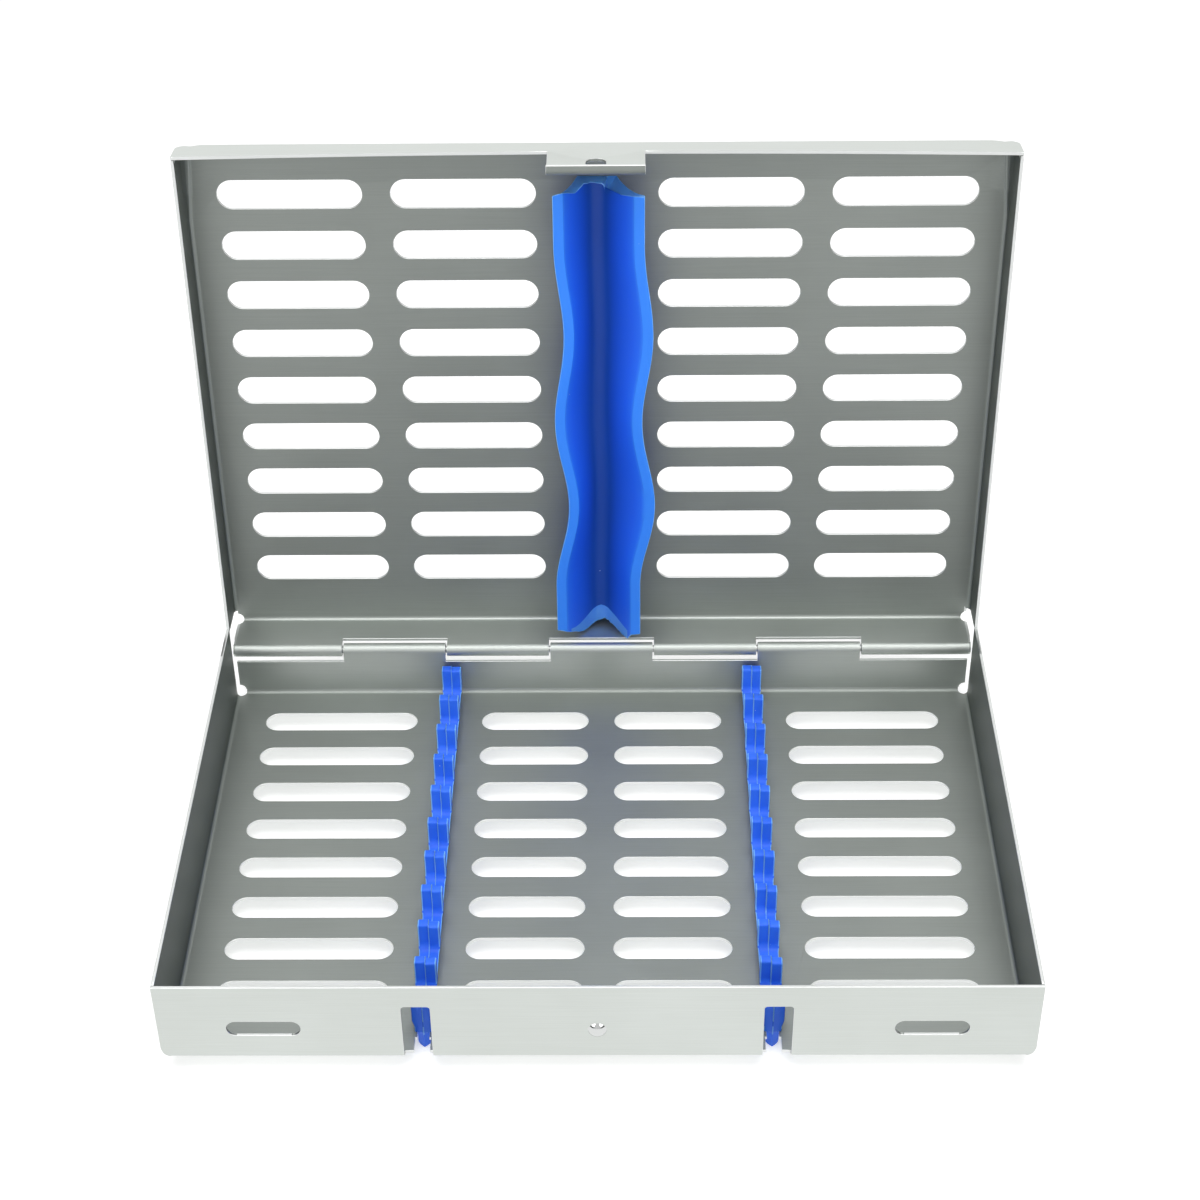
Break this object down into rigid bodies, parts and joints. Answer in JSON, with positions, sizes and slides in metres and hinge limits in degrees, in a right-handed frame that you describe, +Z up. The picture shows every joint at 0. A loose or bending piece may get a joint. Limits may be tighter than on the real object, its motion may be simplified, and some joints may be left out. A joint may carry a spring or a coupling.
{
  "type": "dental instrument cassette",
  "caption": "Shallow perforated stainless box with a piano-hinged lid standing open, slotted floor, blue silicone combs that hold hand instruments, and a snap latch tab on the lid.",
  "frame": {"origin": "bottom centre of the box round the whole cassette with its lid standing open as stored; z = 0 is the table that the two strip beads rest on", "axes": "+X along the hinge, to the right as seen from the front; +Y from the latch side to the hinge side; +Z up, square to the base floor"},
  "size_m": [0.2072, 0.1642, 0.1631],
  "materials": {
    "folded_sheet": "satin electropolished stainless sheet",
    "polished_stud": "mirror polished",
    "hinge_wire": "drawn wire",
    "silicone": "matte moulded silicone rubber"
  },
  "bodies": {
    "base": {"base_tray": "folded_sheet", "latch_stud": "polished_stud"},
    "lid": {"lid": "folded_sheet", "hinge_pin": "hinge_wire", "lid_strip": "silicone"},
    "strip_left": {"base_strip_left": "silicone"},
    "strip_right": {"base_strip_right": "silicone"}
  },
  "joints": [
    {"name": "lid_hinge", "type": "hinge", "parent": "base", "child": "lid", "pos_m": [0, 0.05998, 0.0184], "axis": [-1, 0, 0], "range_deg": [-93, 87]},
    {"name": "strip_left_slide", "type": "slide", "parent": "base", "child": "strip_left", "axis": [0, -1, 0], "range_m": [0, 0.14]},
    {"name": "strip_right_slide", "type": "slide", "parent": "base", "child": "strip_right", "axis": [0, -1, 0], "range_m": [0, 0.14]}
  ]
}
